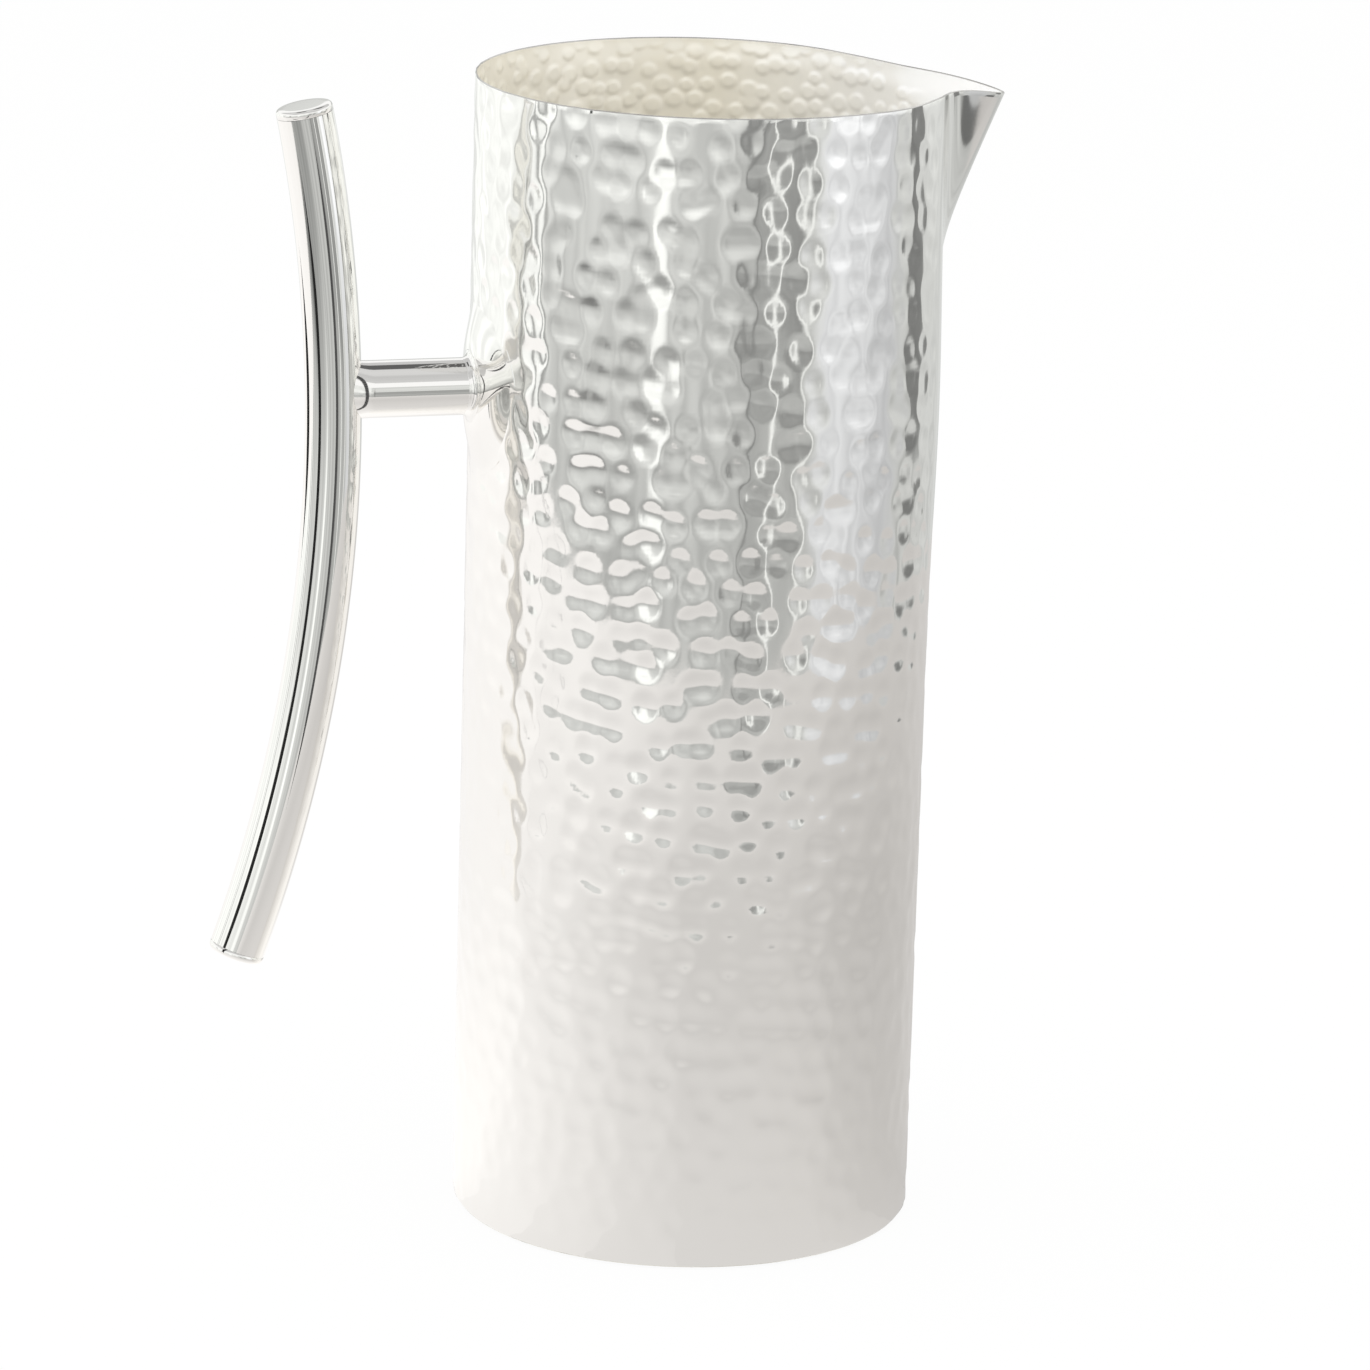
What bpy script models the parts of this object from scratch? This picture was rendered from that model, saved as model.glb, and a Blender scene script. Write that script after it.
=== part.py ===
# A straight-sided hammered metal pitcher with a pulled beak and a bowed bar grip on one stub.
# Metres, +Z up. The origin is the centre of the base. The beak points to +X and the grip lies to -X.

from math import asin, cos, exp, pi, radians, sin, sqrt

import bmesh
import bpy
from mathutils import Matrix, Vector

# Wall and base
BODY_RADIUS = 0.052
BODY_HEIGHT = 0.259
WALL = 0.0009
BASE_THICKNESS = 0.0012
SOLDER_LEG = 0.0025

# Beak: how far the keel stands out at the tip, how far below the rim it starts, and how wide it opens
BEAK_REACH = 0.0158
BEAK_DEPTH = 0.0402
BEAK_SOFTNESS = 0.008
BEAK_HALF_ANGLE = radians(11)
BEAK_ROOT_NARROWING = 0.4

# Rim: it dips towards the beak, dips further at the tip, and is drawn in on both sides of it
RIM_DIP = 0.0017
RIM_DIP_ANGLE = radians(49)
TIP_DIP = 0.0029
TIP_DIP_ANGLE = radians(9.2)
PINCH = 0.00065
PINCH_ANGLE = radians(35)
PINCH_SPREAD = radians(10)

# Slight swell of the hand-worked wall under the beak
SWELL = 0.0009
SWELL_DROP = 0.072
SWELL_SPAN = 0.032
SWELL_ANGLE = radians(50)

# Grip: clear space for the fingers, then a round tube bowed away from the body at both ends
FINGER_GAP = 0.0257
GRIP_DIAMETER = 0.0125
GRIP_WALL = 0.0012
GRIP_BOW_RADIUS = 0.351
GRIP_ABOVE_STUB = 0.0616
GRIP_BELOW_STUB = 0.1266
BOW_BELOW_STUB = 0.0095
CAP_THICKNESS = 0.0015
CAP_ROUND = 0.0009
CAP_SPIGOT = 0.005

# Stub and the domed plate at its root, thick round the stub and thin at its edge
STUB_DIAMETER = 0.0127
STUB_WALL = 0.0015
STUB_DROP = 0.0679
PAD_RADIUS = 0.020
PAD_CROWN = 0.0013
PAD_EDGE = 0.0004
BRAZE_LEG = 0.0016
BEAD_LENGTH = 0.0018
BEAD_FLARE = 0.0006
BEAD_NECKING = 0.3

# Clearance at every seat, which the solder or braze bridges
SEAT = 0.0003

# Facets
BEAK_COLUMNS = 16
BEAK_COLUMN_ANGLE = radians(3)
WALL_COLUMNS = 52
PLAIN_RINGS = 4
FORMED_RINGS = 16
FORMED_DEPTH = 0.110
ROUND_STEPS = 28
BASE_STEPS = 60
BOW_STEPS = 22
PAD_STEPS = 40
PAD_RINGS = 6
BEAD_STEPS = 6
ARC_STEPS = 4
SHARP_ANGLE = radians(35)

# Heights and distances that follow
INNER_RADIUS = BODY_RADIUS - WALL
BEAK_ROOT = BODY_HEIGHT - BEAK_DEPTH
TIP_HEIGHT = BODY_HEIGHT - RIM_DIP - TIP_DIP
SWELL_HEIGHT = BODY_HEIGHT - SWELL_DROP
STUB_HEIGHT = BODY_HEIGHT - STUB_DROP
STUB_RADIUS = STUB_DIAMETER / 2
GRIP_RADIUS = GRIP_DIAMETER / 2
GRIP_BORE = GRIP_RADIUS - GRIP_WALL
PAD_INSIDE = BODY_RADIUS + SEAT
PAD_OUTSIDE = PAD_INSIDE + PAD_CROWN
PAD_FLAT = STUB_RADIUS + SEAT + BRAZE_LEG
BOW_HEIGHT = STUB_HEIGHT - BOW_BELOW_STUB
BOW_NEAREST = BODY_RADIUS + FINGER_GAP + GRIP_RADIUS
BOW_CENTRE = Vector((-BOW_NEAREST - GRIP_BOW_RADIUS, 0, BOW_HEIGHT))
BOW_TOP_ANGLE = asin((BOW_BELOW_STUB + GRIP_ABOVE_STUB) / GRIP_BOW_RADIUS)
BOW_BOTTOM_ANGLE = asin((BOW_BELOW_STUB - GRIP_BELOW_STUB) / GRIP_BOW_RADIUS)
BOW_STUB_ANGLE = asin(BOW_BELOW_STUB / GRIP_BOW_RADIUS)


def clear_scene():
    for thing in list(bpy.data.objects):
        bpy.data.objects.remove(thing, do_unlink=True)


def metal(name, colour, roughness):
    material = bpy.data.materials.new(name)
    material.use_nodes = True
    shader = material.node_tree.nodes["Principled BSDF"]
    shader.inputs["Base Color"].default_value = (*colour, 1)
    shader.inputs["Roughness"].default_value = roughness
    shader.inputs["Metallic"].default_value = 1
    return material


def add_object(name, shape, material=None):
    mesh = bpy.data.meshes.new(name)
    bmesh.ops.recalc_face_normals(shape, faces=shape.faces)
    shape.to_mesh(mesh)
    shape.free()
    mesh.shade_smooth()
    mesh.set_sharp_from_angle(angle=SHARP_ANGLE)
    piece = bpy.data.objects.new(name, mesh)
    bpy.context.scene.collection.objects.link(piece)
    if material:
        mesh.materials.append(material)
    return piece


def as_cutter(piece):
    piece.hide_render = True
    piece.display_type = "WIRE"
    return piece


def cut(piece, cutter):
    boolean = piece.modifiers.new("cut by " + cutter.name, "BOOLEAN")
    boolean.operation = "DIFFERENCE"
    boolean.solver = "EXACT"
    boolean.object = cutter


# A turned piece about its local Z. The outline is (radius, height) pairs, down the outside first.
def turned(name, outline, material, steps, closed):
    shape = bmesh.new()
    points = [shape.verts.new((radius, 0, height)) for radius, height in outline]
    for first, second in zip(points, points[1:]):
        shape.edges.new((first, second))
    if closed:
        shape.edges.new((points[-1], points[0]))
    piece = add_object(name, shape, material)
    screw = piece.modifiers.new("turn", "SCREW")
    screw.axis = "Z"
    screw.angle = 2 * pi
    screw.steps = steps
    screw.render_steps = steps
    screw.use_merge_vertices = True
    screw.merge_threshold = 0.00001
    screw.use_smooth_shade = True
    return piece


# Local Z points from the body's axis out along the stub, and local X points up.
def lay_along_stub(piece):
    piece.location = (0, 0, STUB_HEIGHT)
    piece.rotation_euler = (0, -pi / 2, 0)
    return piece


def bell(distance, width):
    return exp(-((distance / width) ** 2))


def soft_ramp(rise):
    return (rise + sqrt(rise * rise + BEAK_SOFTNESS * BEAK_SOFTNESS)) / 2


def smooth_step(share):
    share = min(max(share, 0), 1)
    return share * share * (3 - 2 * share)


def rim_dip(angle):
    return RIM_DIP * bell(angle, RIM_DIP_ANGLE) + TIP_DIP * bell(angle, TIP_DIP_ANGLE)


# Outer face of the wall at an angle from the beak, on a ring that would be level without the rim's dip
def wall_point(angle, level):
    height = level - rim_dip(angle) * smooth_step((level - BEAK_ROOT) / BEAK_DEPTH)
    pull = soft_ramp(height - BEAK_ROOT) / soft_ramp(TIP_HEIGHT - BEAK_ROOT)
    opening = BEAK_HALF_ANGLE * (1 - BEAK_ROOT_NARROWING + BEAK_ROOT_NARROWING * pull)
    radius = BODY_RADIUS + BEAK_REACH * pull * bell(angle, opening)
    radius -= PINCH * pull * bell(abs(angle) - PINCH_ANGLE, PINCH_SPREAD)
    radius += SWELL * bell(height - SWELL_HEIGHT, SWELL_SPAN) * bell(angle, SWELL_ANGLE)
    return Vector((radius * cos(angle), radius * sin(angle), height))


# Angles round the wall from the beak, between minus and plus half a turn, closer together at the beak
def column_angles():
    half_beak = BEAK_COLUMN_ANGLE * BEAK_COLUMNS / 2
    beak = [step * BEAK_COLUMN_ANGLE - half_beak for step in range(BEAK_COLUMNS)]
    rest_step = (2 * pi - 2 * half_beak) / WALL_COLUMNS
    rest = [half_beak + step * rest_step for step in range(WALL_COLUMNS)]
    return [angle if angle <= pi else angle - 2 * pi for angle in beak + rest]


def ring_levels():
    plain_height = BODY_HEIGHT - FORMED_DEPTH
    plain = [plain_height * step / PLAIN_RINGS for step in range(PLAIN_RINGS)]
    formed = [plain_height + FORMED_DEPTH * step / FORMED_RINGS for step in range(FORMED_RINGS + 1)]
    return plain + formed


def build_body_shell():
    shape = bmesh.new()
    angles = column_angles()
    rings = []
    for level in ring_levels():
        rings.append([shape.verts.new(wall_point(angle, level)) for angle in angles])
    for lower, upper in zip(rings, rings[1:]):
        for column in range(len(angles)):
            after = (column + 1) % len(angles)
            shape.faces.new((lower[column], lower[after], upper[after], upper[column]))
    piece = add_object("body_shell", shape, metal("hammered silver", (0.86, 0.855, 0.84), 0.16))
    sheet = piece.modifiers.new("sheet", "SOLIDIFY")
    sheet.thickness = WALL
    sheet.offset = -1
    sheet.use_even_offset = True
    sheet.use_quality_normals = True
    return piece


def build_base_disc():
    edge = INNER_RADIUS - SEAT
    outline = [(0, BASE_THICKNESS), (edge, BASE_THICKNESS), (edge, 0), (0, 0)]
    return turned("base_disc", outline, metal("base silver", (0.82, 0.815, 0.8), 0.22), BASE_STEPS, False)


# The solder is a cove between the top of the base and the inside of the wall.
def build_base_solder_ring():
    edge = INNER_RADIUS - SEAT
    foot = BASE_THICKNESS + SEAT
    cove = [pi / 2 * step / ARC_STEPS for step in range(ARC_STEPS + 1)]
    outline = [(edge, foot)]
    for angle in cove:
        outline.append((edge - SOLDER_LEG * (1 - sin(angle)), foot + SOLDER_LEG * (1 - cos(angle))))
    solder = metal("base solder", (0.7, 0.69, 0.66), 0.4)
    return turned("base_solder_ring", outline, solder, BASE_STEPS, True)


def pad_thickness(out):
    share = smooth_step((out - PAD_FLAT) / (PAD_RADIUS - PAD_FLAT))
    return PAD_CROWN + (PAD_EDGE - PAD_CROWN) * share


# The plate's distances are measured round the bend of the wall, from the stub's axis out.
def pad_point(out, turn, lift):
    angle = pi - out * cos(turn) / PAD_INSIDE
    radius = PAD_INSIDE + lift
    return Vector((radius * cos(angle), radius * sin(angle), STUB_HEIGHT + out * sin(turn)))


def build_handle_pad():
    shape = bmesh.new()
    turns = [2 * pi * step / PAD_STEPS for step in range(PAD_STEPS)]
    distances = [PAD_RADIUS * ring / PAD_RINGS for ring in range(1, PAD_RINGS + 1)]
    back_centre = shape.verts.new(pad_point(0, 0, 0))
    front_centre = shape.verts.new(pad_point(0, 0, PAD_CROWN))
    back = []
    front = []
    for out in distances:
        back.append([shape.verts.new(pad_point(out, turn, 0)) for turn in turns])
        front.append([shape.verts.new(pad_point(out, turn, pad_thickness(out))) for turn in turns])
    rings = back + front[::-1]
    for step in range(PAD_STEPS):
        after = (step + 1) % PAD_STEPS
        shape.faces.new((back_centre, back[0][step], back[0][after]))
        shape.faces.new((front_centre, front[0][after], front[0][step]))
        for first, second in zip(rings, rings[1:]):
            shape.faces.new((first[step], second[step], second[after], first[after]))
    return add_object("handle_pad", shape, metal("plate silver", (0.88, 0.875, 0.86), 0.08))


# A round bar or tube along the bow of the grip
def bowed_bar(name, radius, bore, material):
    shape = bmesh.new()
    bmesh.ops.create_circle(shape, cap_ends=not bore, radius=radius, segments=ROUND_STEPS)
    if bore:
        bmesh.ops.create_circle(shape, cap_ends=False, radius=bore, segments=ROUND_STEPS)
        bmesh.ops.bridge_loops(shape, edges=shape.edges)
    start = Matrix.Translation(bow_point(BOW_BOTTOM_ANGLE)) @ Matrix.Rotation(-BOW_BOTTOM_ANGLE, 4, "Y")
    bmesh.ops.transform(shape, matrix=start, verts=shape.verts)
    bmesh.ops.spin(
        shape,
        geom=shape.verts[:] + shape.edges[:] + shape.faces[:],
        cent=BOW_CENTRE,
        axis=(0, -1, 0),
        angle=BOW_TOP_ANGLE - BOW_BOTTOM_ANGLE,
        steps=BOW_STEPS,
    )
    return add_object(name, shape, material)


def bow_point(angle):
    return BOW_CENTRE + GRIP_BOW_RADIUS * Vector((cos(angle), 0, sin(angle)))


def build_grip_tube():
    return bowed_bar("grip_tube", GRIP_RADIUS, GRIP_BORE, metal("grip silver", (0.88, 0.88, 0.87), 0.05))


# The flat end of the grip, with a soft edge and a spigot in the tube's bore. Height 0 is the tube's end.
def build_grip_cap(name, angle, way_out):
    top = SEAT + CAP_THICKNESS
    spigot = GRIP_BORE - SEAT
    outline = [(0, top)]
    for step in range(ARC_STEPS + 1):
        turn = pi / 2 * step / ARC_STEPS
        outline.append((GRIP_RADIUS - CAP_ROUND * (1 - sin(turn)), top - CAP_ROUND * (1 - cos(turn))))
    outline += [(GRIP_RADIUS, SEAT), (spigot, SEAT), (spigot, -CAP_SPIGOT), (0, -CAP_SPIGOT)]
    cap = turned(name, outline, metal(name + " silver", (0.87, 0.87, 0.86), 0.08), ROUND_STEPS, False)
    cap.location = bow_point(angle)
    cap.rotation_euler = (0, -angle if way_out > 0 else pi - angle, 0)
    return cap


def stub_end():
    grip_side = -bow_point(BOW_STUB_ANGLE).x - GRIP_RADIUS
    return grip_side - BEAD_LENGTH


def build_handle_stub(pad_cutter):
    bore = STUB_RADIUS - STUB_WALL
    outline = [(STUB_RADIUS, stub_end()), (STUB_RADIUS, INNER_RADIUS)]
    outline += [(bore, INNER_RADIUS), (bore, stub_end())]
    piece = turned("handle_stub", outline, metal("stub silver", (0.88, 0.875, 0.86), 0.06), ROUND_STEPS, True)
    cut(lay_along_stub(piece), pad_cutter)
    return piece


# A cove of braze in the corner between the stub and the plate
def build_pad_braze_ring(pad_cutter):
    inside = STUB_RADIUS + SEAT
    face = PAD_OUTSIDE + SEAT
    cove = [pi / 2 * step / ARC_STEPS for step in range(ARC_STEPS + 1)]
    outline = []
    for angle in cove:
        outline.append((inside + BRAZE_LEG * (1 - sin(angle)), face + BRAZE_LEG * (1 - cos(angle))))
    outline.reverse()
    outline += [(inside + BRAZE_LEG, INNER_RADIUS), (inside, INNER_RADIUS), (inside, face + BRAZE_LEG)]
    braze = metal("plate braze", (0.85, 0.845, 0.83), 0.1)
    piece = turned("pad_braze_ring", outline, braze, ROUND_STEPS, True)
    cut(lay_along_stub(piece), pad_cutter)
    return piece


# The bead runs from the stub's round end to a narrower foot on the side of the grip.
def build_grip_braze_bead(grip_cutter):
    shape = bmesh.new()
    start = stub_end() + SEAT
    length = BEAD_LENGTH + GRIP_RADIUS
    necking = BEAD_NECKING * min(STUB_RADIUS, GRIP_RADIUS)
    turns = [2 * pi * step / ROUND_STEPS for step in range(ROUND_STEPS)]
    rings = []
    for step in range(BEAD_STEPS + 1):
        share = smooth_step(step / BEAD_STEPS)
        tall = STUB_RADIUS + BEAD_FLARE * share
        deep = STUB_RADIUS - necking * share
        out = start + length * step / BEAD_STEPS
        rings.append([shape.verts.new((tall * cos(turn), deep * sin(turn), out)) for turn in turns])
    for lower, upper in zip(rings, rings[1:]):
        for column in range(ROUND_STEPS):
            after = (column + 1) % ROUND_STEPS
            shape.faces.new((lower[column], lower[after], upper[after], upper[column]))
    shape.faces.new(rings[0])
    shape.faces.new(rings[-1])
    piece = add_object("grip_braze_bead", shape, metal("bead braze", (0.86, 0.855, 0.84), 0.09))
    cut(lay_along_stub(piece), grip_cutter)
    return piece


def build_pad_cutter():
    shape = bmesh.new()
    height = 2 * (PAD_RADIUS + STUB_RADIUS)
    face = PAD_OUTSIDE + SEAT
    bmesh.ops.create_cone(shape, cap_ends=True, segments=BASE_STEPS, radius1=face, radius2=face, depth=height)
    piece = add_object("cutter_plate_face", shape)
    piece.location = (0, 0, STUB_HEIGHT)
    return as_cutter(piece)


def build_grip_cutter():
    return as_cutter(bowed_bar("cutter_grip_side", GRIP_RADIUS + SEAT, 0, None))


def main():
    clear_scene()
    pad_cutter = build_pad_cutter()
    grip_cutter = build_grip_cutter()
    build_body_shell()
    build_base_disc()
    build_base_solder_ring()
    build_handle_pad()
    build_handle_stub(pad_cutter)
    build_pad_braze_ring(pad_cutter)
    build_grip_braze_bead(grip_cutter)
    build_grip_tube()
    build_grip_cap("grip_cap_top", BOW_TOP_ANGLE, 1)
    build_grip_cap("grip_cap_bottom", BOW_BOTTOM_ANGLE, -1)


main()
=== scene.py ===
from math import asin, cos, pi, radians, sin

import bpy
import numpy as np
from mathutils import Matrix, Vector


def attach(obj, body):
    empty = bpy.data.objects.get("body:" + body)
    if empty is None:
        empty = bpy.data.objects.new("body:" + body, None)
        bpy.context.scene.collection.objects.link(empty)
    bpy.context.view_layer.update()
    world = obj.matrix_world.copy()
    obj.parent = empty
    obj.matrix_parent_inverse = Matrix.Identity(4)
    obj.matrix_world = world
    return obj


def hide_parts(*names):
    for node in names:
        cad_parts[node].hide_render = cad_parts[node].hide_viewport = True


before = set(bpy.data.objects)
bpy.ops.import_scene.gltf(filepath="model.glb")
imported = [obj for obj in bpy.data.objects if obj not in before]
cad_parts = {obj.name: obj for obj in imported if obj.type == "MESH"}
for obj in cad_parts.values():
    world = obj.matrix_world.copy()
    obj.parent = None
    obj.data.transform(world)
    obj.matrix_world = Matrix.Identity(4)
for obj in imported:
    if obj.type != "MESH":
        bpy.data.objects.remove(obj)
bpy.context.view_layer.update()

print("frame: loaded", len(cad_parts), "nodes")


# Shader maths: a value stands for a socket, and arithmetic on it adds Math nodes.
class Value:
    def __init__(self, graph, socket):
        self.graph = graph
        self.socket = socket

    def maths(self, operation, first, second):
        return self.graph.node("ShaderNodeMath", {"operation": operation}, {0: first, 1: second})

    def __add__(self, other):
        return self.maths("ADD", self, other)

    def __radd__(self, other):
        return self.maths("ADD", other, self)

    def __sub__(self, other):
        return self.maths("SUBTRACT", self, other)

    def __rsub__(self, other):
        return self.maths("SUBTRACT", other, self)

    def __mul__(self, other):
        return self.maths("MULTIPLY", self, other)

    def __rmul__(self, other):
        return self.maths("MULTIPLY", other, self)


class Graph:
    def __init__(self, owner):
        owner.use_nodes = True
        self.tree = owner.node_tree
        self.tree.nodes.clear()

    def node(self, kind, settings, sockets, output=0):
        made = self.tree.nodes.new(kind)
        for name, value in settings.items():
            setattr(made, name, value)
        for name, value in sockets.items():
            if isinstance(value, Value):
                self.tree.links.new(value.socket, made.inputs[name])
            else:
                made.inputs[name].default_value = value
        return Value(self, made.outputs[output]) if made.outputs else None

    def noise(self, place, scale, detail):
        return self.node("ShaderNodeTexNoise", {}, {"Vector": place, "Scale": scale, "Detail": detail})

    # The colours of a Mix node are its sockets 6 and 7, and the mixed colour is its output 2.
    def mixColours(self, share, first, second):
        sockets = {"Factor": share, 6: first, 7: second}
        return self.node("ShaderNodeMix", {"data_type": "RGBA"}, sockets, 2)


# Painted highlight: the inside's colour turns from cream to white towards the beak, painting the bright
# reflection seen there.
def paintedHighlightTowardsBeak(graph, place, tone, look):
    along = graph.node("ShaderNodeSeparateXYZ", {}, {"Vector": place})
    start, end = look["beakHighlightSpan"]
    share = graph.node("ShaderNodeMapRange", {}, {"Value": along, "From Min": start, "From Max": end})
    return graph.mixColours(share, tone, (*look["beakHighlightColour"], 1))


# Polished silver: smudges vary its roughness and tone, and fine polishing lines its normal.
def silver(name, look):
    material = bpy.data.materials.new(name)
    graph = Graph(material)
    place = graph.node("ShaderNodeTexCoord", {}, {}, "Object")
    smudge = graph.noise(place, look["smudgeScale"], look["smudgeDetail"])
    stretched = graph.node("ShaderNodeMapping", {}, {"Vector": place, "Scale": look["grainStretch"]})
    grain = graph.noise(stretched, look["grainScale"], look["grainDetail"])
    tone = graph.mixColours(smudge, (*look["colour"], 1), (*look["shade"], 1))
    # Painted highlight on the inside: its colour whitens towards the beak.
    if "beakHighlightColour" in look:
        tone = paintedHighlightTowardsBeak(graph, place, tone, look)
    roughness = look["roughness"] + look["smudge"] * (smudge - 0.5) + look["grainRoughness"] * (grain - 0.5)
    relief = {"Strength": look["grain"], "Distance": look["grainDepth"], "Height": grain}
    lines = graph.node("ShaderNodeBump", {}, relief)
    sockets = {"Base Color": tone, "Roughness": roughness, "Metallic": look["metallic"], "Normal": lines}
    shader = graph.node("ShaderNodeBsdfPrincipled", {}, sockets)
    graph.node("ShaderNodeOutputMaterial", {}, {"Surface": shader})
    return material


outsideLook = {
    "metallic": 1.0,
    "colour": (0.965, 0.957, 0.938),
    "shade": (0.945, 0.935, 0.91),
    "roughness": 0.075,
    "smudge": 0.05,
    "smudgeScale": 26.0,
    "smudgeDetail": 3.0,
    "grain": 0.06,
    "grainDepth": 0.00002,
    "grainScale": 1400.0,
    "grainDetail": 2.0,
    "grainStretch": (1.0, 1.0, 1.0),
    "grainRoughness": 0.02,
}
insideLook = {
    **outsideLook,
    "metallic": 0.28,
    "colour": (0.968, 0.936, 0.845),
    "shade": (0.952, 0.91, 0.8),
    # The inside's colour whitens towards the beak, a painted highlight where the smooth metal shows a
    # bright reflection.
    "beakHighlightColour": (0.99, 0.988, 0.98),
    "beakHighlightSpan": (0.016, 0.044),
    "roughness": 0.2,
    "smudge": 0.08,
}
polishedLook = {
    **outsideLook,
    "roughness": 0.045,
    "smudge": 0.03,
    "grain": 0.04,
    "grainStretch": (1.0, 1.0, 0.05),
}
stubLook = {**polishedLook, "grainStretch": (0.05, 1.0, 1.0)}   # its polishing lines run along X
# Painted shade: the rolled rim is coloured dark grey, drawing a dark line of shade along its edge.
rimShadeLook = {**polishedLook, "colour": (0.64, 0.63, 0.61), "shade": (0.58, 0.57, 0.55), "roughness": 0.14}
brazeLook = {**polishedLook, "roughness": 0.07, "grainStretch": (1.0, 1.0, 1.0)}
baseLook = {
    **outsideLook,
    "colour": (0.93, 0.92, 0.89),
    "shade": (0.9, 0.885, 0.85),
    "roughness": 0.2,
    "smudge": 0.1,
}
solderLook = {
    **outsideLook,
    "colour": (0.78, 0.77, 0.74),
    "shade": (0.7, 0.69, 0.65),
    "roughness": 0.38,
    "smudge": 0.15,
    "grain": 0.3,
    "grainScale": 500.0,
}


# A mesh from rows of points, closed round each row, and from the last row to the first if asked.
def meshFromRows(name, rows, closeRows, capFirst=False, capLast=False):
    count = len(rows[0])
    points = np.concatenate(rows)
    around = np.arange(count)
    after = (around + 1) % count
    total = len(rows)
    faces = []
    for row in range(total if closeRows else total - 1):
        low = row * count
        high = ((row + 1) % total) * count
        faces.append(np.stack([low + around, low + after, high + after, high + around], 1))
    quads = np.concatenate(faces).tolist()
    if capFirst:
        quads.append(list(range(count))[::-1])
    if capLast:
        quads.append(list(range((total - 1) * count, total * count)))
    mesh = bpy.data.meshes.new(name)
    mesh.from_pydata(points.tolist(), [], quads)
    mesh.validate()
    mesh.shade_smooth()
    piece = bpy.data.objects.new(name, mesh)
    bpy.context.scene.collection.objects.link(piece)
    return piece


def dress(piece, node, slot, *materials):
    for material in materials:
        piece.data.materials.append(material)
    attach(piece, "root")
    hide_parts(node)
    print("piece:", piece.name, len(piece.data.polygons), "faces")
    return piece


def softStep(share):
    share = np.clip(share, 0, 1)
    return share * share * (3 - 2 * share)


def bell(distance, width):
    return np.exp(-((distance / width) ** 2))


def fullTurn(steps):
    return 2 * pi * np.arange(steps) / steps


# The wall, with the sizes of the solid
wall = {
    "radius": 0.052,
    "height": 0.259,
    "thickness": 0.0009,
    "beakReach": 0.0158,
    "beakDepth": 0.0402,
    "beakSoftness": 0.008,
    "beakAngle": radians(11),
    "rootNarrowing": 0.4,
    "rimDip": 0.0017,
    "rimDipAngle": radians(49),
    "tipDip": 0.0029,
    "tipDipAngle": radians(9.2),
    "pinch": 0.00065,
    "pinchAngle": radians(35),
    "pinchSpread": radians(10),
    "swell": 0.0009,
    "swellDrop": 0.072,
    "swellSpan": 0.032,
    "swellAngle": radians(50),
    "footRound": 0.0012,
    "rimThickness": 0.0005,
    "rimTaper": 0.006,
    "insideFade": 0.003,
    "outsideColumns": 380,
    "outsideRows": 252,
    "footRows": 4,
    "rimRows": 6,
    "insideColumns": 640,
    "insideRows": ((0.025, 56), (0.09, 65), (0.257, 32)),   # depth under the rim, and the rows down to it
}
# The dimples outside: how many round and up the wall, how they are set and how deep they go.
# padFrom and padFade, shares of the plate's radius, are where they start beside the plate.
hammer = {
    "around": 50,
    "up": 37,
    "shift": 0.4,
    "climb": 6,
    "jitter": (0.32, 0.24),
    "stretch": 1.1,
    "unevenness": 0.05,
    "softness": 7.0,
    "ridge": 0.2,
    "leastTotal": 1e-9,
    "deepest": 1.5,
    "depth": 0.00024,
    "topShare": 0.75,
    "topFade": (0.12, 0.21),
    "smoothAngle": radians(27),
    "smoothFade": radians(4),
    "smoothBottom": 0.09,
    "padFrom": 0.75,
    "padFade": 0.35,
    "seed": 11,
}
# The bumps inside: round, flat on top, and closer together than the dimples
bumps = {
    "around": 66,
    "up": 58,
    "shift": 0.5,
    "climb": 0,
    "stretch": 1.0,
    "jitter": (0.36, 0.36),
    "unevenness": 0.16,
    "height": 0.00022,
    "size": 0.45,
    "edge": 2.6,
    "bottom": 0.08,
    "bottomFade": 0.01,
    "smoothAngle": radians(12),
    "seed": 5,
}
# The plate, stub and grip, with the sizes of the solids. The last lines are the steps round and
# the rows along each piece.
handle = {
    "stubHeight": wall["height"] - 0.0679,
    "stubRadius": 0.00635,
    "padRadius": 0.020,
    "padCrown": 0.0013,
    "padSink": 0.0004,
    "padEdgeSink": 0.00012,
    "seat": 0.0003,
    "stubSink": 0.0004,
    "brazeLeg": 0.0017,
    "brazeSink": (0.0004, 0.0005),
    "fingerGap": 0.0257,
    "gripRadius": 0.00625,
    "bowRadius": 0.351,
    "aboveStub": 0.0616,
    "belowStub": 0.1266,
    "bowBelowStub": 0.0095,
    "capThickness": 0.0015,
    "capRound": 0.0009,
    "capShares": (0.8, 0.5, 0.2),
    "seamShare": 0.98,
    "seamRise": 0.00003,
    "beadLength": 0.0018,
    "beadFlare": 0.0006,
    "beadNecking": 0.3,
    "sharpAngle": radians(40),
    "padSteps": 128,
    "padUnderRows": 24,
    "padTopRows": 46,
    "brazeRows": 14,
    "gripSteps": 72,
    "gripRows": 160,
    "capRows": 9,
    "stubSteps": 96,
    "stubRows": 24,
    "beadRows": 20,
}


def softRamp(rise):
    return (rise + np.sqrt(rise * rise + wall["beakSoftness"] ** 2)) / 2


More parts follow.
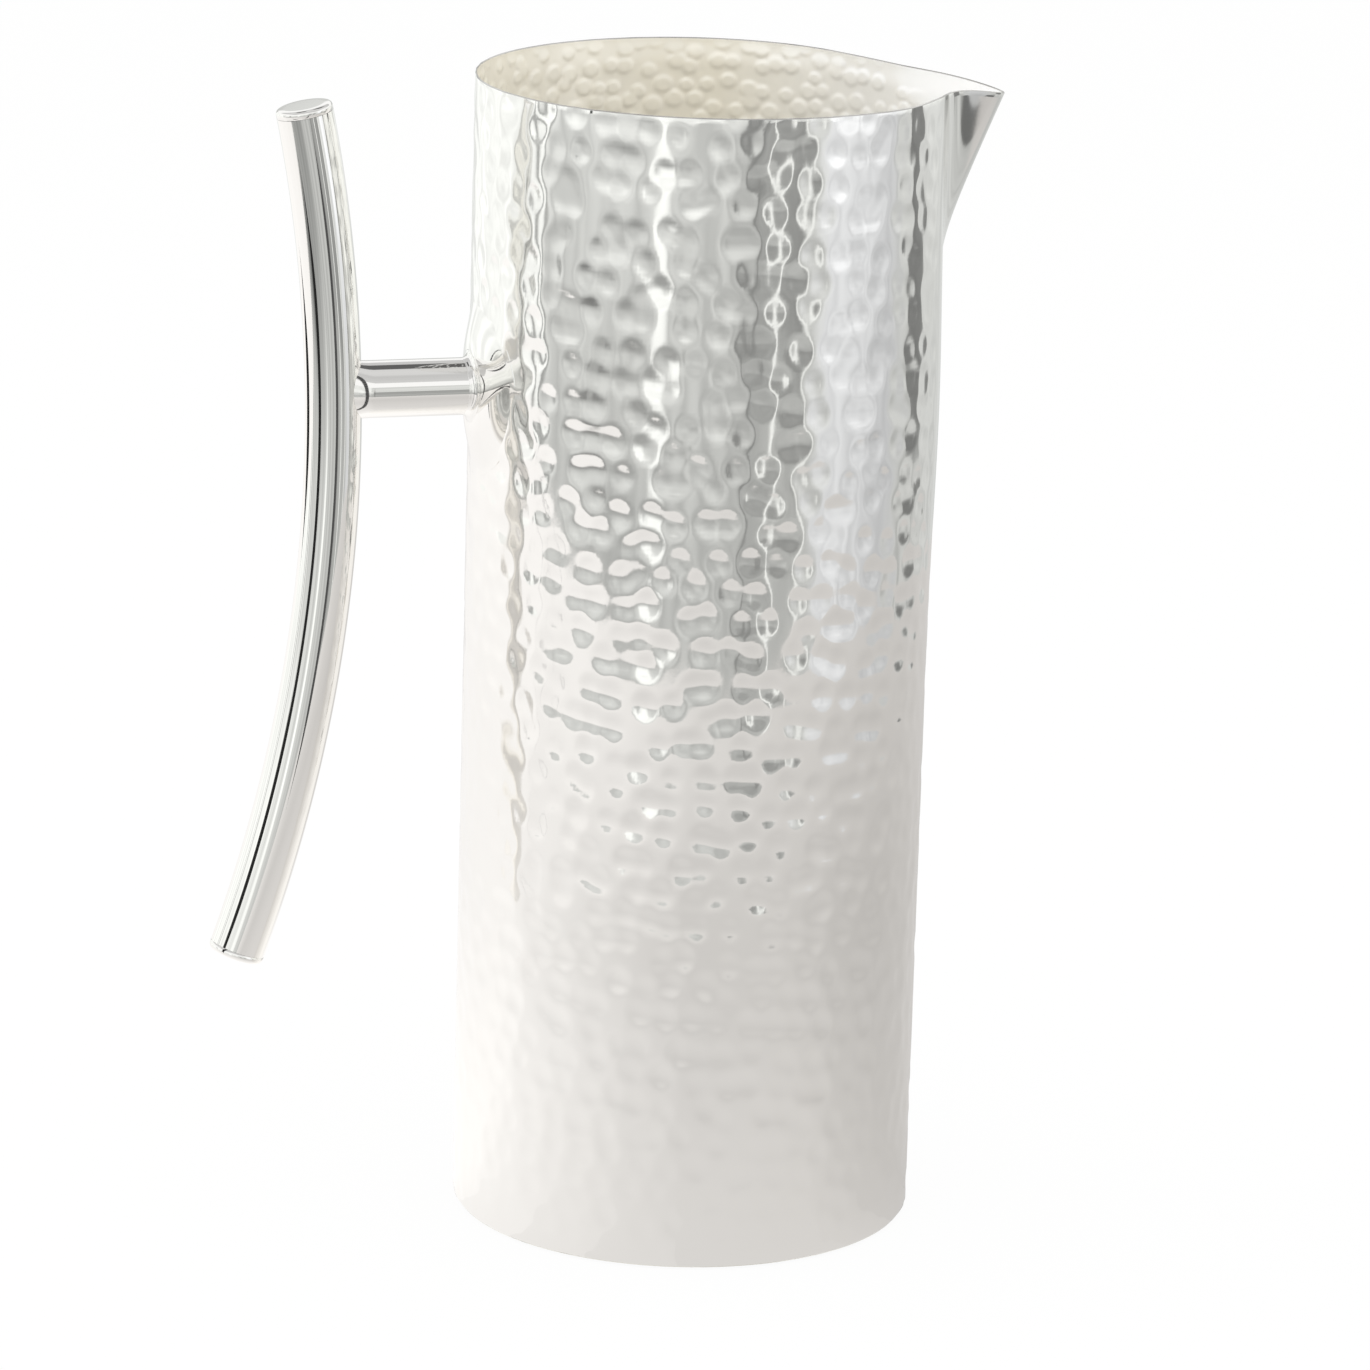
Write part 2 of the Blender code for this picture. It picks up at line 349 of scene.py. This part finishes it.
# Radius and height of the smooth outer face at an angle from the beak
def wallAt(angle, level):
    root = wall["height"] - wall["beakDepth"]
    tip = wall["height"] - wall["rimDip"] - wall["tipDip"]
    dip = wall["rimDip"] * bell(angle, wall["rimDipAngle"])
    dip = dip + wall["tipDip"] * bell(angle, wall["tipDipAngle"])
    height = level - dip * softStep((level - root) / wall["beakDepth"])
    pull = softRamp(height - root) / softRamp(tip - root)
    opening = wall["beakAngle"] * (1 - wall["rootNarrowing"] + wall["rootNarrowing"] * pull)
    radius = wall["radius"] + wall["beakReach"] * pull * bell(angle, opening)
    radius -= wall["pinch"] * pull * bell(abs(angle) - wall["pinchAngle"], wall["pinchSpread"])
    swellHeight = wall["height"] - wall["swellDrop"]
    swell = wall["swell"] * bell(height - swellHeight, wall["swellSpan"])
    radius += swell * bell(angle, wall["swellAngle"])
    return radius, height


spareRows = 2   # rows of blows kept beyond each end of the pattern


# A seeded set of blows: how far each lies off its place in the pattern, and how it differs
def blowSet(settings):
    random = np.random.default_rng(settings["seed"])
    shape = (settings["up"] + 2 * (settings["climb"] + spareRows), settings["around"])
    aside, up, lift = random.uniform(-1, 1, (3, *shape))
    jitterAside, jitterUp = settings["jitter"]
    return aside * jitterAside, up * jitterUp, lift * settings["unevenness"]


outsideBlows = blowSet(hammer)
insideBlows = blowSet(bumps)


# Squared distances, in steps of the pattern, from a point to the blows around it
def nearBlows(settings, blows, angle, height):
    blowAside, blowUp, blowLift = blows
    turn = (angle / (2 * pi)) % 1
    across = turn * settings["around"]
    up = height / wall["height"] * settings["up"] + turn * settings["climb"]
    for rowStep in (-1, 0, 1):
        row = np.floor(up).astype(int) + rowStep
        shift = settings["shift"] * (row % 2)
        for columnStep in (-1, 0, 1):
            column = np.floor(across - shift).astype(int) + columnStep
            turns, wrapped = np.divmod(column, settings["around"])
            safeRow = np.clip(row + spareRows - turns * settings["climb"], 0, len(blowUp) - 1)
            aside = across - (column + 0.5 + shift + blowAside[safeRow, wrapped])
            above = up - (row + 0.5 + blowUp[safeRow, wrapped])
            yield aside * aside * settings["stretch"] + above * above, blowLift[safeRow, wrapped]


# How much of the hammering is left: none at the beak and for a way below it, and none under the plate
def hammeredShare(settings, angle, height):
    beside = softStep((abs(angle) - settings["smoothAngle"]) / hammer["smoothFade"])
    below = 1 - softStep((height - hammer["smoothBottom"]) / hammer["smoothBottom"])
    aside = (pi - abs(angle)) * wall["radius"]
    fromStub = np.hypot(aside, height - handle["stubHeight"])
    padFrom = hammer["padFrom"] * handle["padRadius"]
    padEdge = softStep((fromStub - padFrom) / (hammer["padFade"] * handle["padRadius"]))
    return np.maximum(beside, below) * padEdge


# The outside sinks at each blow, with soft ridges between them.
def dimple(angle, height):
    total = 0
    for squared, lift in nearBlows(hammer, outsideBlows, angle, height):
        total = total + np.exp(-hammer["softness"] * (squared + lift))
    rise = -np.log(total + hammer["leastTotal"]) / hammer["softness"]
    sunk = np.clip(1 - rise / hammer["ridge"], 0.0, hammer["deepest"])
    fadeFrom, fadeTo = hammer["topFade"]
    fade = softStep((height - fadeFrom) / (fadeTo - fadeFrom))
    depth = hammer["depth"] * (1 - (1 - hammer["topShare"]) * fade)
    return -depth * sunk * hammeredShare(hammer, angle, height)


# The inside rises at each blow into a low round bump, down to where the wall is out of sight.
def innerBump(angle, height):
    total = 0
    for squared, lift in nearBlows(bumps, insideBlows, angle, height):
        size = bumps["size"] * (1 + lift)
        total = np.maximum(total, softStep(bumps["edge"] * (1 - np.sqrt(squared) / size)))
    above = height - wall["height"] + bumps["bottom"] + bumps["bottomFade"]
    shown = softStep(above / bumps["bottomFade"])
    return bumps["height"] * total * shown * hammeredShare(bumps, angle, height)


def ring(angle, radius, height):
    level = np.broadcast_to(height, angle.shape)
    return np.stack([radius * np.cos(angle), radius * np.sin(angle), level], 1)


def beakAngles(columns):
    turn = fullTurn(columns)
    return np.where(turn > pi, turn - 2 * pi, turn)


# The sheet thins towards the rim.
def thicknessAt(level):
    share = float(softStep((level - wall["height"] + wall["rimTaper"]) / wall["rimTaper"]))
    return wall["thickness"] + (wall["rimThickness"] - wall["thickness"]) * share


def buildOutside():
    angle = beakAngles(wall["outsideColumns"])
    half = wall["rimThickness"] / 2
    top = wall["height"] - half
    foot = wall["footRound"]
    rows = [ring(angle, wall["radius"] - wall["thickness"], 0.0)]
    for bend in np.linspace(0, pi / 2, wall["footRows"] + 1)[:-1]:
        radius = wall["radius"] - foot + foot * sin(bend) - hammer["depth"]
        rows.append(ring(angle, radius, foot * (1 - cos(bend))))
    for level in np.linspace(foot, top, wall["outsideRows"]):
        radius, height = wallAt(angle, level)
        rows.append(ring(angle, radius + dimple(angle, height), height))
    for bend in np.linspace(0, pi, wall["rimRows"] + 1)[1:]:   # round edge, on from the last level
        edge = radius - half + half * cos(bend) + dimple(angle, height) * (1 - bend / pi)
        rows.append(ring(angle, edge, height + half * sin(bend)))
    piece = meshFromRows("hammered_outside", rows, False)
    # The rim's rounded edge takes the dark grey rim colour, a painted shade line.
    shadedRimFaces = np.zeros(len(piece.data.polygons), np.int32)
    shadedRimFaces[-wall["rimRows"] * wall["outsideColumns"]:] = 1
    looks = silver("outside silver", outsideLook), silver("rim silver painted shade", rimShadeLook)
    dress(piece, "body_shell", "hammered_silver", *looks)
    piece.data.polygons.foreach_set("material_index", shadedRimFaces)


def buildInside():
    angle = beakAngles(wall["insideColumns"])
    top = wall["height"] - wall["rimThickness"] / 2
    drops = [0.0]
    for end, count in wall["insideRows"]:
        drops.extend(np.linspace(drops[-1], end, count + 1)[1:])
    rows = []
    for level in top - np.array(drops):
        radius, height = wallAt(angle, level)
        fade = softStep((top - level) / wall["insideFade"])
        rows.append(ring(angle, radius - thicknessAt(level) - fade * innerBump(angle, height), height))
    piece = meshFromRows("hammered_inside", rows, False)
    dress(piece, "body_shell", "hammered_silver", silver("inside silver", insideLook))


# Turned pieces about Z, from (radius, height) pairs
def turned(name, outline, steps, capFirst=False, capLast=False, closed=False):
    turn = fullTurn(steps)
    rows = [ring(turn, radius, height) for radius, height in outline]
    return meshFromRows(name, rows, closed, capFirst, capLast)


base = {
    "thickness": 0.0012,
    "soft": 0.0003,
    "gap": 0.00005,
    "topShares": (0.98, 0.02, 50),   # of the radius, from, to and how many rings
    "steps": 128,
    "solderLeg": 0.0025,
    "solderSink": 0.0001,
    "solderRows": 9,
    "solderSteps": 160,
}


def buildBase():
    edge = wall["radius"] - wall["thickness"] - base["gap"]
    soft = base["soft"]
    top = base["thickness"]
    outline = [(edge - soft, 0.0), (edge, soft), (edge, top)]
    outline += [(edge * share, top) for share in np.linspace(*base["topShares"])]
    disc = turned("base_plate", outline, base["steps"], True, True)
    dress(disc, "base_disc", "base_silver", silver("base silver", baseLook))
    leg = base["solderLeg"]
    low = top - base["solderSink"]
    outline = [(edge, low), (edge - leg, low)]
    for bend in np.linspace(0, pi / 2, base["solderRows"]):
        outline.append((edge - leg * (1 - sin(bend)), top + leg * (1 - cos(bend))))
    solder = turned("base_solder", outline[::-1], base["solderSteps"], closed=True)
    dress(solder, "base_solder_ring", "solder", silver("base solder", solderLook))


# A ring over the plate, out from the stub's axis and lifted off the wall along the stub
def padRing(out, lift):
    turn = fullTurn(handle["padSteps"])
    aside = out * np.cos(turn)
    up = handle["stubHeight"] + out * np.sin(turn)
    away = np.sqrt(wall["radius"] ** 2 - aside * aside) + lift
    return np.stack([-away, aside, up], 1)


def padLift(out):
    flat = handle["stubRadius"] + handle["seat"] + handle["brazeLeg"]
    share = softStep((out - flat) / (handle["padRadius"] - flat))
    crown = handle["seat"] + handle["padCrown"]
    return crown - (crown + handle["padEdgeSink"]) * share


def buildPad():
    leg = handle["brazeLeg"]
    root = handle["stubRadius"]
    edge = handle["padRadius"]
    rows = []
    for out in np.linspace(root, edge, handle["padUnderRows"]):   # the underside follows the wall
        rows.append(padRing(out, -handle["padSink"]))
    for out in np.linspace(edge, root, handle["padTopRows"]):
        rows.append(padRing(out, padLift(out)))
    pad = meshFromRows("handle_plate", rows, True)
    dress(pad, "handle_pad", "polished_silver", silver("plate silver", polishedLook))
    inStub, inPlate = handle["brazeSink"]
    rows = [padRing(root - inStub, padLift(root) - inPlate)]
    for bend in np.linspace(0, pi / 2, handle["brazeRows"]):
        out = root + leg * (1 - sin(bend))
        rows.append(padRing(out, padLift(out) + leg * (1 - cos(bend))))
    rows.append(padRing(root - inStub, padLift(root) + leg))
    braze = meshFromRows("plate_braze", rows, True)
    dress(braze, "pad_braze_ring", "braze", silver("plate braze", brazeLook))


# The bow of the grip: its arc's middle, and the angles of its ends and of the stub
bowHeight = handle["stubHeight"] - handle["bowBelowStub"]
bowNearest = wall["radius"] + handle["fingerGap"] + handle["gripRadius"]
bowCentre = np.array([-bowNearest - handle["bowRadius"], 0, bowHeight])
bowTop = asin((handle["bowBelowStub"] + handle["aboveStub"]) / handle["bowRadius"])
bowBottom = asin((handle["bowBelowStub"] - handle["belowStub"]) / handle["bowRadius"])
bowStub = asin(handle["bowBelowStub"] / handle["bowRadius"])


def sharpEnds(piece):
    piece.data.set_sharp_from_angle(angle=handle["sharpAngle"])


# A ring round the grip: its middle on the bow, moved along it by ahead
def gripRing(bend, radius, ahead=0.0):
    turn = fullTurn(handle["gripSteps"])
    outward = np.array([cos(bend), 0, sin(bend)])
    along = np.array([-sin(bend), 0, cos(bend)])
    middle = bowCentre + handle["bowRadius"] * outward + along * ahead
    sideways = np.array([0, 1.0, 0])
    return middle + radius * (np.cos(turn)[:, None] * outward + np.sin(turn)[:, None] * sideways)


def buildGrip():
    radius = handle["gripRadius"]
    rows = [gripRing(bend, radius) for bend in np.linspace(bowBottom, bowTop, handle["gripRows"])]
    grip = meshFromRows("grip_bar", rows, False, True, True)
    sharpEnds(grip)
    dress(grip, "grip_tube", "polished_silver", silver("grip silver", polishedLook))
    ends = (
        ("grip_end_top", "grip_cap_top", bowTop, 1),
        ("grip_end_bottom", "grip_cap_bottom", bowBottom, -1),
    )
    top = handle["seat"] + handle["capThickness"]
    soft = handle["capRound"]
    rise = handle["seamRise"]
    for name, node, bend, way in ends:
        rows = [gripRing(bend, radius * handle["seamShare"], way * rise)]
        rows.append(gripRing(bend, radius, way * 2 * rise))
        for corner in np.linspace(0, pi / 2, handle["capRows"]):
            ahead = top - soft * (1 - sin(corner))
            rows.append(gripRing(bend, radius - soft * (1 - cos(corner)), way * ahead))
        for share in handle["capShares"]:
            rows.append(gripRing(bend, (radius - soft) * share, way * top))
        cap = meshFromRows(name, rows if way > 0 else rows[::-1], False, True, True)
        dress(cap, node, "polished_silver", silver(name + " silver", polishedLook))


# An upright ellipse round the stub's axis, away from the axis of the wall
def stubRing(away, tall, deep):
    turn = fullTurn(handle["stubSteps"])
    up = handle["stubHeight"] + tall * np.sin(turn)
    return np.stack([np.full_like(turn, -away), deep * np.cos(turn), up], 1)


def buildStub():
    radius = handle["stubRadius"]
    gripSide = -(bowCentre[0] + handle["bowRadius"] * cos(bowStub)) - handle["gripRadius"]
    end = gripSide - handle["beadLength"]
    start = wall["radius"] - handle["stubSink"]
    rows = [stubRing(away, radius, radius) for away in np.linspace(start, end, handle["stubRows"])]
    stub = meshFromRows("handle_post", rows, False, True, True)
    sharpEnds(stub)
    dress(stub, "handle_stub", "polished_silver", silver("stub silver", stubLook))
    rows = []
    length = handle["beadLength"] + handle["gripRadius"]
    for share in np.linspace(0, 1, handle["beadRows"]):
        grow = float(softStep(share))
        tall = radius + handle["beadFlare"] * grow
        deep = radius - handle["beadNecking"] * handle["gripRadius"] * grow
        rows.append(stubRing(end + length * share, tall, deep))
    bead = meshFromRows("grip_braze", rows, False, True, True)
    sharpEnds(bead)
    dress(bead, "grip_braze_bead", "braze", silver("bead braze", brazeLook))


buildOutside()
buildInside()
buildBase()
buildPad()
buildStub()
buildGrip()


# The photo's camera: its distance from body radii, and its focal length and target in the photo's pixels
view = {
    "azimuth": radians(-16),
    "elevation": radians(14.72),
    "distance": 29.14 * wall["radius"],
    "roll": radians(1.67),
    "focal": 6741.8,
    "pixels": 1370,
    "targetAt": (694.84, 645.91),
    "sensor": 36,
    "clip": (0.05, 50),
}


def buildCamera():
    data = bpy.data.cameras.new("camera")
    camera = bpy.data.objects.new("camera", data)
    bpy.context.scene.collection.objects.link(camera)
    bpy.context.scene.camera = camera
    data.sensor_width = view["sensor"]
    data.lens = view["focal"] / view["pixels"] * view["sensor"]
    data.clip_start, data.clip_end = view["clip"]
    spin = Matrix.Rotation(view["azimuth"], 3, "Z")
    forward = spin @ Vector((0, cos(view["elevation"]), -sin(view["elevation"])))
    right = spin @ Vector((1, 0, 0))
    up = right.cross(forward)
    middle = view["pixels"] / 2
    aim = Vector([(at - middle) / view["focal"] for at in view["targetAt"]] + [1]).normalized()
    tilt = Vector((0, 0, 1)).rotation_difference(aim).to_matrix()
    axes = tilt @ Matrix.Rotation(view["roll"], 3, "Z") @ Matrix((right, -up, forward))
    camera.matrix_world = Matrix((axes[0], -axes[1], -axes[2])).transposed().to_4x4()
    camera.location = Vector((0, 0, wall["height"] / 2)) - forward * view["distance"]


buildCamera()
print("camera: set at the photo's view")


# Directions in plan: 0 is towards the camera and 90 to its right
def planPoint(direction, distance, height):
    turn = radians(direction) + view["azimuth"]
    return (distance * sin(turn), -distance * cos(turn), height)


# The table as the metal shows it, a card that glows with painted light and shade: its tones are darker
# close to the pitcher and to the right, where they paint the pitcher's shadow. Columns: direction, reach,
# tone near the pitcher and tone at its edge
table = {
    "rays": (
        (-180, 0.75, 0.75, 0.78), (-158, 0.9, 0.96, 0.98), (-133, 0.95, 0.97, 1.04),
        (-95, 0.95, 0.97, 1.04), (-78, 0.78, 0.89, 0.99), (-48, 0.65, 0.8, 0.96), (-24, 0.61, 0.71, 0.88),
        (0, 0.56, 0.645, 0.79), (48, 0.6, 0.62, 0.7), (71, 0.62, 0.56, 0.65), (97, 0.62, 0.53, 0.62),
        (130, 0.64, 0.58, 0.62), (180, 0.75, 0.7, 0.7),
    ),
    "height": -0.0002,
    "foot": 0.1,
    "footGain": 1.1,
    "near": 0.3,
    "warmth": ((-110, (1.0, 0.984, 0.972)), (90, (1.0, 0.972, 0.947))),
    "patchRange": 0.06,
}
# The surround beyond the table: tones by direction and by height, then posts and gaps as
# (direction from, to, height from, to, tone, how many times softer their edges are)
surround = {
    "tones": (
        (-180, 0.66), (-158, 0.84), (-140, 0.97), (-92, 1.0), (-91, 0.3), (-90, 0.3), (-89, 0.9),
        (-86, 0.9), (-85, 0.3), (-84, 0.3), (-82, 0.62), (-49, 0.6), (-26, 0.6), (-24, 1.0),
        (-19, 1.0), (-17, 0.6), (0, 0.54), (18, 0.5), (21, 0.43), (46, 0.46), (52, 0.5), (57, 0.6),
        (62, 0.76), (83, 0.68), (98, 0.53), (137, 0.6), (165, 0.62), (180, 0.62),
    ),
    "heights": ((-1.8, 0.7), (-1.1, 0.75), (-0.45, 1.0), (-0.12, 1.16), (0.0, 1.4), (0.1, 1.6), (0.9, 1.6)),
    "posts": (
        (-78, -15, -1.4, -0.42, 0.36, 6.0),
        (-61, -55, 0.0, 0.4, 0.08, 1.0),
        (-64, -52, -0.7, -0.46, 0.22, 2.0),
        (20, 48, -0.31, 0.12, 0.33, 1.0),
        (21, 22.5, -0.9, 0.3, 0.25, 1.0),
        (33, 35, -0.9, 0.9, 0.95, 1.0),
        (49, 51, -0.9, 0.9, 0.95, 1.0),
        (117, 132, -0.375, 0.3, 0.22, 1.0),
        (106, 117, -0.86, -0.58, 0.15, 1.0),
        (150, 180, 0.1, 0.9, 0.6, 1.0),
        (-180, -150, 0.1, 0.9, 0.6, 1.0),
    ),
    "distance": 2.4,
    "stepsAround": 720,
    "stepsUp": 64,
    "warmth": (0.985, 1.0, 0.98),
    "cool": ((52, 1.0), (62, 1.045), (100, 1.045), (112, 1.0)),
    "patchScale": 3.6,
    "patchRange": 0.65,
    "soft": (1.2, 0.05),
    "whitest": 1.04,
}
# The ceiling: tones by depth, from the camera side to the back, then two dark panels as
# (depth from, to, side from, to, tone, how many times softer their edges are)
ceiling = {
    "height": 2.0,
    "half": 2.4,
    "steps": 96,
    "tones": ((-2.4, 0.66), (-0.9, 0.58), (-0.6, 0.7), (0.4, 0.7), (1.1, 0.6), (2.4, 0.6)),
    "posts": ((0.23, 1.12, -0.1, 0.7, 0.12, 1.0), (-0.05, 0.84, -0.95, -0.4, 0.12, 1.0)),
    "soft": (0.06, 0.12),
    "patchRange": 0.06,
}
floor = {"half": 12.0, "height": -0.0004, "colour": (0.88, 0.875, 0.865, 1), "whiteToCamera": 0.94}


def addStage(name, points, faces, material):
    mesh = bpy.data.meshes.new(name)
    mesh.from_pydata(points, [], faces)
    mesh.materials.append(material)
    thing = bpy.data.objects.new(name, mesh)
    bpy.context.scene.collection.objects.link(thing)
    return thing


# The floor that the camera sees, with the pitcher's shadow. The metal shows the table instead.
def buildFloor():
    material = bpy.data.materials.new("floor white")
    graph = Graph(material)
    toCamera = graph.node("ShaderNodeLightPath", {}, {}, "Is Camera Ray")
    plain = graph.node("ShaderNodeBsdfDiffuse", {}, {"Color": floor["colour"]})
    white = graph.node("ShaderNodeEmission", {}, {"Color": (1, 1, 1, 1), "Strength": 1.0})
    share = toCamera * floor["whiteToCamera"]
    mixed = graph.node("ShaderNodeMixShader", {}, {0: share, 1: plain, 2: white})
    graph.node("ShaderNodeOutputMaterial", {}, {"Surface": mixed})
    half = floor["half"]
    low = floor["height"]
    points = [(-half, -half, low), (half, -half, low), (half, half, low), (-half, half, low)]
    addStage("floor", points, [(0, 1, 2, 3)], material).visible_glossy = False


# Cards that only reflections show, a grid of points each with its tone
def toneCards(name, points, colours, count, patchRange):
    material = bpy.data.materials.new(name)
    graph = Graph(material)
    tone = graph.node("ShaderNodeAttribute", {"attribute_name": "tone"}, {}, "Color")
    place = graph.node("ShaderNodeTexCoord", {}, {}, "Object")
    patches = 1 + patchRange * (graph.noise(place, surround["patchScale"], 1.0) - 0.5)
    uneven = graph.node("ShaderNodeVectorMath", {"operation": "SCALE"}, {0: tone, "Scale": patches})
    glow = graph.node("ShaderNodeEmission", {}, {"Color": uneven, "Strength": 1.0})
    graph.node("ShaderNodeOutputMaterial", {}, {"Surface": glow})
    faces = []
    for low in range(0, len(points) - count, count):
        for step in range(low, low + count - 1):
            faces.append((step, step + count, step + count + 1, step + 1))
    cards = addStage(name, points, faces, material)
    attribute = cards.data.color_attributes.new("tone", "FLOAT_COLOR", "POINT")
    attribute.data.foreach_set("color", np.array(colours, np.float32).ravel())
    cards.visible_camera = False
    cards.visible_diffuse = False
    cards.visible_shadow = False


def buildTable():
    points = []
    colours = []
    (leftmost, leftTint), (rightmost, rightTint) = table["warmth"]
    for direction, reach, nearTone, farTone in table["rays"]:
        # Painted shadow: the near tones, low to the right and close to the pitcher, paint the pitcher's
        # shadow on the table.
        footTone = nearTone * table["footGain"]
        share = np.clip((direction - leftmost) / (rightmost - leftmost), 0, 1)
        tint = leftTint + np.subtract(rightTint, leftTint) * share
        distances = (0.0, table["foot"], table["near"], reach)
        for distance, tone in zip(distances, (footTone, footTone, nearTone, farTone)):
            points.append(planPoint(direction, distance, table["height"]))
            colours.append((*(tone * tint), 1))
    toneCards("table", points, colours, len(distances), table["patchRange"])


# A share that is one between two limits, with soft edges
def between(values, low, high, soft):
    return softStep((values - low) / soft + 0.5) * softStep((high - values) / soft + 0.5)


def withPosts(tones, firsts, seconds, settings):
    softFirst, softSecond = settings["soft"]
    for firstLow, firstHigh, secondLow, secondHigh, tone, blur in settings["posts"]:
        inFirst = between(firsts, firstLow, firstHigh, softFirst * blur)
        inSecond = between(seconds, secondLow, secondHigh, softSecond * blur)
        tones = tones + (tone - tones) * np.outer(inFirst, inSecond)
    return tones


def buildSurround():
    directions = np.linspace(-180, 180, surround["stepsAround"] + 1)
    heights = np.linspace(surround["heights"][0][0], surround["heights"][-1][0], surround["stepsUp"] + 1)
    around = np.interp(directions, *np.transpose(surround["tones"]))
    up = np.interp(heights, *np.transpose(surround["heights"]))
    tones = withPosts(np.outer(around, up), directions, heights, surround)
    colours = np.ones((len(directions), len(heights), 4))
    colours[..., :3] = np.minimum(tones, surround["whitest"])[..., None] * np.array(surround["warmth"])
    colours[..., 2] *= np.interp(directions, *np.transpose(surround["cool"]))[:, None]
    points = []
    for direction in directions:
        points += [planPoint(direction, surround["distance"], height) for height in heights]
    toneCards("surround", points, colours, len(heights), surround["patchRange"])


def buildCeiling():
    places = np.linspace(-ceiling["half"], ceiling["half"], ceiling["steps"] + 1)
    byDepth = np.interp(places, *np.transpose(ceiling["tones"]))
    tones = withPosts(np.repeat(byDepth[:, None], len(places), 1), places, places, ceiling)
    colours = np.ones((*tones.shape, 4))
    colours[..., :3] = tones[..., None]
    spin = Matrix.Rotation(view["azimuth"], 3, "Z")
    points = [tuple(spin @ Vector((side, depth, ceiling["height"]))) for depth in places for side in places]
    toneCards("ceiling", points, colours, len(places), ceiling["patchRange"])


# Dark strips beside the grip that only reflections show: direction from its axis, the way the width
# lies, half that width, heights from and to, and tone. They follow the grip's bow, taper at both ends
# and stand edge-on to the wall's side that the camera sees.
flags = {
    "distance": 0.03,
    "steps": 60,
    "taper": 0.03,
    "strips": (
        (-48, 95, 0.0052, 0.05, 0.235, 0.02),
        (17, 105, 0.0021, 0.09, 0.25, 0.08),
        (-110, 160, 0.005, 0.145, 0.218, 0.02),
    ),
}


def buildFlags():
    for number, (direction, way, half, low, high, tone) in enumerate(flags["strips"]):
        points = []
        for height in np.linspace(low, high, flags["steps"]):
            bend = asin((height - bowHeight) / handle["bowRadius"])
            middle = bowCentre + handle["bowRadius"] * np.array([cos(bend), 0, sin(bend)])
            middle = middle + planPoint(direction, flags["distance"], 0.0)
            share = float(softStep(min(height - low, high - height) / flags["taper"]))
            for side in (-half * share, half * share):
                points.append(tuple(middle + planPoint(way, side, 0.0)))
        toneCards(f"flag {number}", points, [(tone, tone, tone, 1)] * len(points), 2, 0.0)


aimHeight = 0.12
lamps = {
    "key": {"direction": -95, "distance": 1.2, "height": 1.2, "size": 0.9, "power": 3.0},
    "top": {"direction": 0, "distance": 0.3, "height": 1.6, "size": 1.0, "power": 5.0},
}


def buildLamps():
    for name, lamp in lamps.items():
        data = bpy.data.lights.new(name, "AREA")
        data.energy = lamp["power"]
        data.size = lamp["size"]
        thing = bpy.data.objects.new(name, data)
        bpy.context.scene.collection.objects.link(thing)
        thing.location = planPoint(lamp["direction"], lamp["distance"], lamp["height"])
        aim = Vector((0, 0, aimHeight)) - thing.location
        thing.rotation_euler = aim.to_track_quat("-Z", "Y").to_euler()
        thing.visible_glossy = False


sky = {"colour": (1, 1, 1, 1), "strength": 1.0}


def buildWorld():
    world = bpy.data.worlds.new("studio")
    bpy.context.scene.world = world
    graph = Graph(world)
    glow = graph.node("ShaderNodeBackground", {}, {"Color": sky["colour"], "Strength": sky["strength"]})
    graph.node("ShaderNodeOutputWorld", {}, {"Surface": glow})


buildFloor()
buildTable()
buildSurround()
buildCeiling()
buildFlags()
buildLamps()
buildWorld()
bpy.context.scene.view_settings.view_transform = "Standard"
print("stage: floor, table, surround, ceiling, strips, lamps and world set")
